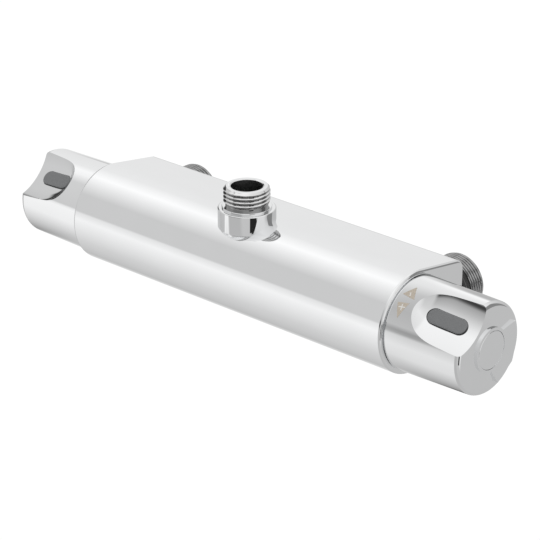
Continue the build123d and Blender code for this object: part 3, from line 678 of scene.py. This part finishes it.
def make_cap(name, place, body):
    """Round disc set in the handle's end."""
    top = GRIP_END + WEB_RISE
    flat = CAP_RADIUS - CAP_EDGE
    profile = [(0.1, top - STUD_DEPTH), (STUD_RADIUS, top - STUD_DEPTH), (STUD_RADIUS, top - CAP_DEPTH)]
    profile += [(CAP_RADIUS, top - CAP_DEPTH), (CAP_RADIUS, top - CAP_EDGE)]
    profile += rounding((flat, top - CAP_EDGE), CAP_EDGE, EDGE_TURNS)
    profile += [(flat * (1 - t / 8), top) for t in range(1, 8)] + [(0.1, top)]
    mesh = turned(name, profile, place, 160, (True, True), 32.0)
    link_piece(name + "_disc", mesh, body, CHROME, [name])


def mark(name, corners, lift, material):
    """Thin mark on the temperature handle from three or four corners.

    A corner is the distance along the bar's axis and the angle from up toward the front, in mm and degrees.
    """
    bm = bmesh.new()
    count = 10
    square = len(corners) == 4
    slope = (GRIP_RADIUS - GRIP_END_RADIUS) / GRIP_LENGTH

    def skin(u, v):
        weights = ((1 - u) * (1 - v), u * (1 - v), u * v, (1 - u) * v) if square else (1 - u - v, u, v)
        along, angle = (sum(w * corner[k] for w, corner in zip(weights, corners)) for k in (0, 1))
        radius = GRIP_RADIUS - (along - GRIP_START) * slope + lift
        turn = math.radians(angle)
        return outward((-radius * math.sin(turn), radius * math.cos(turn), along))

    grid = {}
    for i in range(count + 1):
        for j in range(count + 1 if square else count + 1 - i):
            grid[i, j] = bm.verts.new(skin(i / count, j / count))
    for i, j in grid:
        around = [(i, j), (i + 1, j), (i + 1, j + 1), (i, j + 1)]
        if around[1] in grid and around[3] in grid:
            bm.faces.new([grid[key] for key in around if key in grid])
    mesh = finish_mesh(name, bm, 180.0)
    centre = sum((v.co for v in mesh.vertices), Vector()) / len(mesh.vertices)
    normal = mesh.polygons[0].normal
    if normal.dot(centre - Vector((centre.x, AXIS_Y * MM, 0))) < 0:
        mesh.flip_normals()
    link_piece(name, mesh, "temperature_control", material)


def make_marks():
    mark("cooler_mark", [(98.9, 18.4), (95.3, 33.2), (101.9, 35.6)], 0.02, TAN)
    mark("warmer_mark", [(95.3, 44.2), (100.9, 41.4), (98.2, 62.0)], 0.02, TAN)
    mark("cooler_minus", [(98.0, 28.2), (98.55, 27.8), (99.25, 32.6), (98.7, 33.0)], 0.035, PALE)
    mark("warmer_plus_a", [(96.6, 48.1), (99.8, 46.9), (99.95, 48.4), (96.75, 49.6)], 0.035, PALE)
    mark("warmer_plus_b", [(97.75, 44.6), (98.35, 44.4), (98.75, 52.2), (98.15, 52.4)], 0.04, PALE)


LOOKS = {
    "polished_chrome": CHROME,
    "grey_rubber": GREY,
    "black_rubber": BLACK,
    "cartridge_plastic": WHITE_PLASTIC,
    "plain_brass": BRASS,
    "white_ceramic": CERAMIC,
    "spring_steel": STEEL,
}
for part in frame["record"]["subparts"]:
    node = frame["nodes"][part["node"]]
    node.data.materials.clear()
    node.data.materials.append(LOOKS[part["material_slot"]])

make_bar()
make_outlet()
make_inlet(-1, "left")
make_inlet(1, "right")
for name, place, body, push in (
    ("temperature", outward, "temperature_control", "temperature_push"),
    ("flow", turned_left, "flow_control", "flow_push"),
):
    make_handle(name + "_handle", place, body)
    make_button(name + "_button", place, push)
    make_cap(name + "_cap", place, body)
    make_register(name + "_register", place)
make_marks()


# Studio tones: soft bands of light by roll about the bar's axis, in degrees from the wall side over the
# top to the front. The bar, the handles and the scoops mirror different ranges along the axis, so each
# has its own bands. Levels go in steps of 0.05 and were set from the photo's brightness.
BAR_TONE = [
    (-180, 0.85), (-165, 1.00), (-110, 0.70), (-65, 0.55), (-50, 0.70), (-9, 0.85), (-5, 0.60), (3, 0.60),
    (7, 0.85), (55, 0.90), (85, 1.10), (135, 0.65), (176, 0.65), (180, 0.85),
]
LEFT_HANDLE_TONE = [
    (-180, 0.90), (-175, 1.00), (-140, 0.95), (-42, 0.20), (-34, 0.20), (-30, 0.60), (-13, 0.80),
    (55, 0.90), (70, 1.05), (85, 1.00), (110, 0.70), (176, 0.65), (180, 0.90),
]
RIGHT_HANDLE_TONE = [
    (-180, 0.35), (-174, 0.40), (-168, 0.70), (-145, 0.85), (-115, 0.80), (-60, 0.35), (-44, 0.10),
    (-33, 0.10), (-29, 0.50), (10, 0.50), (15, 0.60), (23, 1.05), (40, 0.90), (55, 0.85), (85, 0.60),
    (135, 0.50), (170, 0.55), (180, 0.35),
]
LEFT_SCOOP_TONE = [
    (-180, 0.60), (-90, 0.50), (26, 0.50), (32, 0.05), (46, 0.05), (54, 0.60), (80, 0.65), (150, 0.65),
    (180, 0.60),
]
RIGHT_SCOOP_TONE = [
    (-180, 0.05), (-177, 0.30), (-170, 0.50), (0, 0.55), (30, 0.70), (60, 0.95), (112, 1.00), (125, 0.90),
    (150, 0.55), (165, 0.40), (172, 0.10), (176, 0.05), (180, 0.05),
]
RIGHT_SIDE_TONE = [
    (-180, 0.60), (-90, 0.55), (0, 0.55), (30, 0.60), (60, 0.80), (110, 0.90), (140, 0.70), (180, 0.60),
]
# Upright panels: bearing from and to in degrees, height from and to, level.
PANELS = ((54, 80, -0.46, -0.10, 0.02), (128, 158, -0.2, 0.6, 0.25))
DARK_CORNER = 0.05
END_WALL = 0.84


def studio_world():
    """Soft studio: pale wall, overhead light and floor, with two upright panels beside the part."""
    world = bpy.data.worlds.new("studio")
    bpy.context.scene.world = world
    world.use_nodes = True
    tree = world.node_tree
    tree.nodes.clear()
    link = tree.links.new

    def number(operation, *values):
        node = tree.nodes.new("ShaderNodeMath")
        node.operation = operation
        for socket, value in zip(node.inputs, values):
            if isinstance(value, (int, float)):
                socket.default_value = value
            else:
                link(value, socket)
        return node.outputs[0]

    def rise(value, low, high):
        node = tree.nodes.new("ShaderNodeMapRange")
        node.interpolation_type = "SMOOTHSTEP"
        link(value, node.inputs["Value"])
        for key, bound in (("From Min", low), ("From Max", high), ("To Min", 0.0), ("To Max", 1.0)):
            node.inputs[key].default_value = bound
        return node.outputs[0]

    def window(value, low, high, soft):
        over = rise(value, low - soft, low + soft)
        under = rise(value, high + soft, high - soft)
        return number("MULTIPLY", over, under)

    def tone(value, stops):
        span = number("MULTIPLY_ADD", value, 0.5 / math.pi, 0.5)
        stops = [((angle + 180) / 360, (level,) * 3) for angle, level in stops]
        return ramp_node(tree, span, stops).outputs["Color"]

    def blend(factor, first, second):
        node = tree.nodes.new("ShaderNodeMix")
        node.data_type = "RGBA"
        link(factor, node.inputs["Factor"])
        for key, value in ((6, first), (7, second)):
            if isinstance(value, float):
                node.inputs[key].default_value = (value, value, value, 1)
            else:
                link(value, node.inputs[key])
        return node.outputs[2]

    place = tree.nodes.new("ShaderNodeTexCoord")
    split = tree.nodes.new("ShaderNodeSeparateXYZ")
    link(place.outputs["Generated"], split.inputs[0])
    x, y, z = split.outputs
    roll = number("ARCTAN2", z, y)
    studio_tone = blend(rise(x, -0.685, -0.70), tone(roll, BAR_TONE), tone(roll, LEFT_HANDLE_TONE))
    studio_tone = blend(rise(x, -0.74, -0.78), studio_tone, tone(roll, LEFT_SCOOP_TONE))
    beside = number("MULTIPLY", rise(x, -0.84, -0.90), rise(y, 0.12, 0.20))
    studio_tone = blend(number("MULTIPLY", beside, rise(z, -0.38, -0.34)), studio_tone, DARK_CORNER)
    for start, end, stops in (
        (-0.562, -0.535, RIGHT_HANDLE_TONE),
        (-0.508, -0.47, RIGHT_SCOOP_TONE),
        (0.2, 0.45, RIGHT_SIDE_TONE),
    ):
        studio_tone = blend(rise(x, start, end), studio_tone, tone(roll, stops))
    studio_tone = blend(rise(x, 0.80, 0.93), studio_tone, END_WALL)
    bearing = number("ARCTAN2", x, number("MULTIPLY", y, -1.0))
    for start, end, low, high, level in PANELS:
        across = window(bearing, math.radians(start), math.radians(end), 0.02)
        panel = number("MULTIPLY", across, window(z, low, high, 0.01))
        studio_tone = blend(panel, studio_tone, level)
    studio = add_node(tree, "ShaderNodeBackground", Strength=1.0)
    link(studio_tone, studio.inputs["Color"])
    plain = add_node(tree, "ShaderNodeBackground", Color=(1, 1, 1, 1), Strength=1.0)
    path = tree.nodes.new("ShaderNodeLightPath")
    mix = tree.nodes.new("ShaderNodeMixShader")
    link(path.outputs["Is Camera Ray"], mix.inputs[0])
    link(studio.outputs[0], mix.inputs[1])
    link(plain.outputs[0], mix.inputs[2])
    out = tree.nodes.new("ShaderNodeOutputWorld")
    link(mix.outputs[0], out.inputs["Surface"])


def studio_floor():
    """Pale floor that keeps a soft shadow and lets reflections see the studio."""
    mesh = bpy.data.meshes.new("floor")
    size, height = 3.0, -0.12
    corners = [(-size, -size, height), (size, -size, height), (size, size, height), (-size, size, height)]
    mesh.from_pydata(corners, [], [(0, 1, 2, 3)])
    floor = bpy.data.objects.new("floor", mesh)
    bpy.context.scene.collection.objects.link(floor)
    material = bpy.data.materials.new("floor")
    material.use_nodes = True
    tree = material.node_tree
    tree.nodes.clear()
    link = tree.links.new
    soft = add_node(tree, "ShaderNodeBsdfDiffuse", Color=(0.95, 0.95, 0.95, 1))
    glow = add_node(tree, "ShaderNodeEmission", Color=(1, 1, 1, 1), Strength=1.1)
    pale = tree.nodes.new("ShaderNodeMixShader")
    pale.inputs[0].default_value = 0.8
    link(soft.outputs[0], pale.inputs[1])
    link(glow.outputs[0], pale.inputs[2])
    through = tree.nodes.new("ShaderNodeBsdfTransparent")
    path = tree.nodes.new("ShaderNodeLightPath")
    seen = tree.nodes.new("ShaderNodeMixShader")
    link(path.outputs["Is Glossy Ray"], seen.inputs[0])
    link(pale.outputs[0], seen.inputs[1])
    link(through.outputs[0], seen.inputs[2])
    out = tree.nodes.new("ShaderNodeOutputMaterial")
    link(seen.outputs[0], out.inputs["Surface"])
    mesh.materials.append(material)


def studio_camera():
    camera = bpy.data.objects.new("camera", bpy.data.cameras.new("camera"))
    bpy.context.scene.collection.objects.link(camera)
    turn, tilt = math.radians(VIEW_AZIMUTH), math.radians(VIEW_ELEVATION)
    back = Vector((math.sin(turn) * math.cos(tilt), -math.cos(turn) * math.cos(tilt), math.sin(tilt)))
    camera.location = (Vector(VIEW_TARGET) + back * VIEW_DISTANCE) * MM
    camera.rotation_mode = "QUATERNION"
    camera.rotation_quaternion = (-back).to_track_quat("-Z", "Y")
    camera.data.sensor_width = 36.0
    camera.data.lens = VIEW_LENS
    camera.data.clip_start, camera.data.clip_end = 0.01, 20.0
    bpy.context.scene.camera = camera


studio_world()
studio_floor()
studio_camera()

scene = bpy.context.scene
scene.view_settings.view_transform = "Standard"
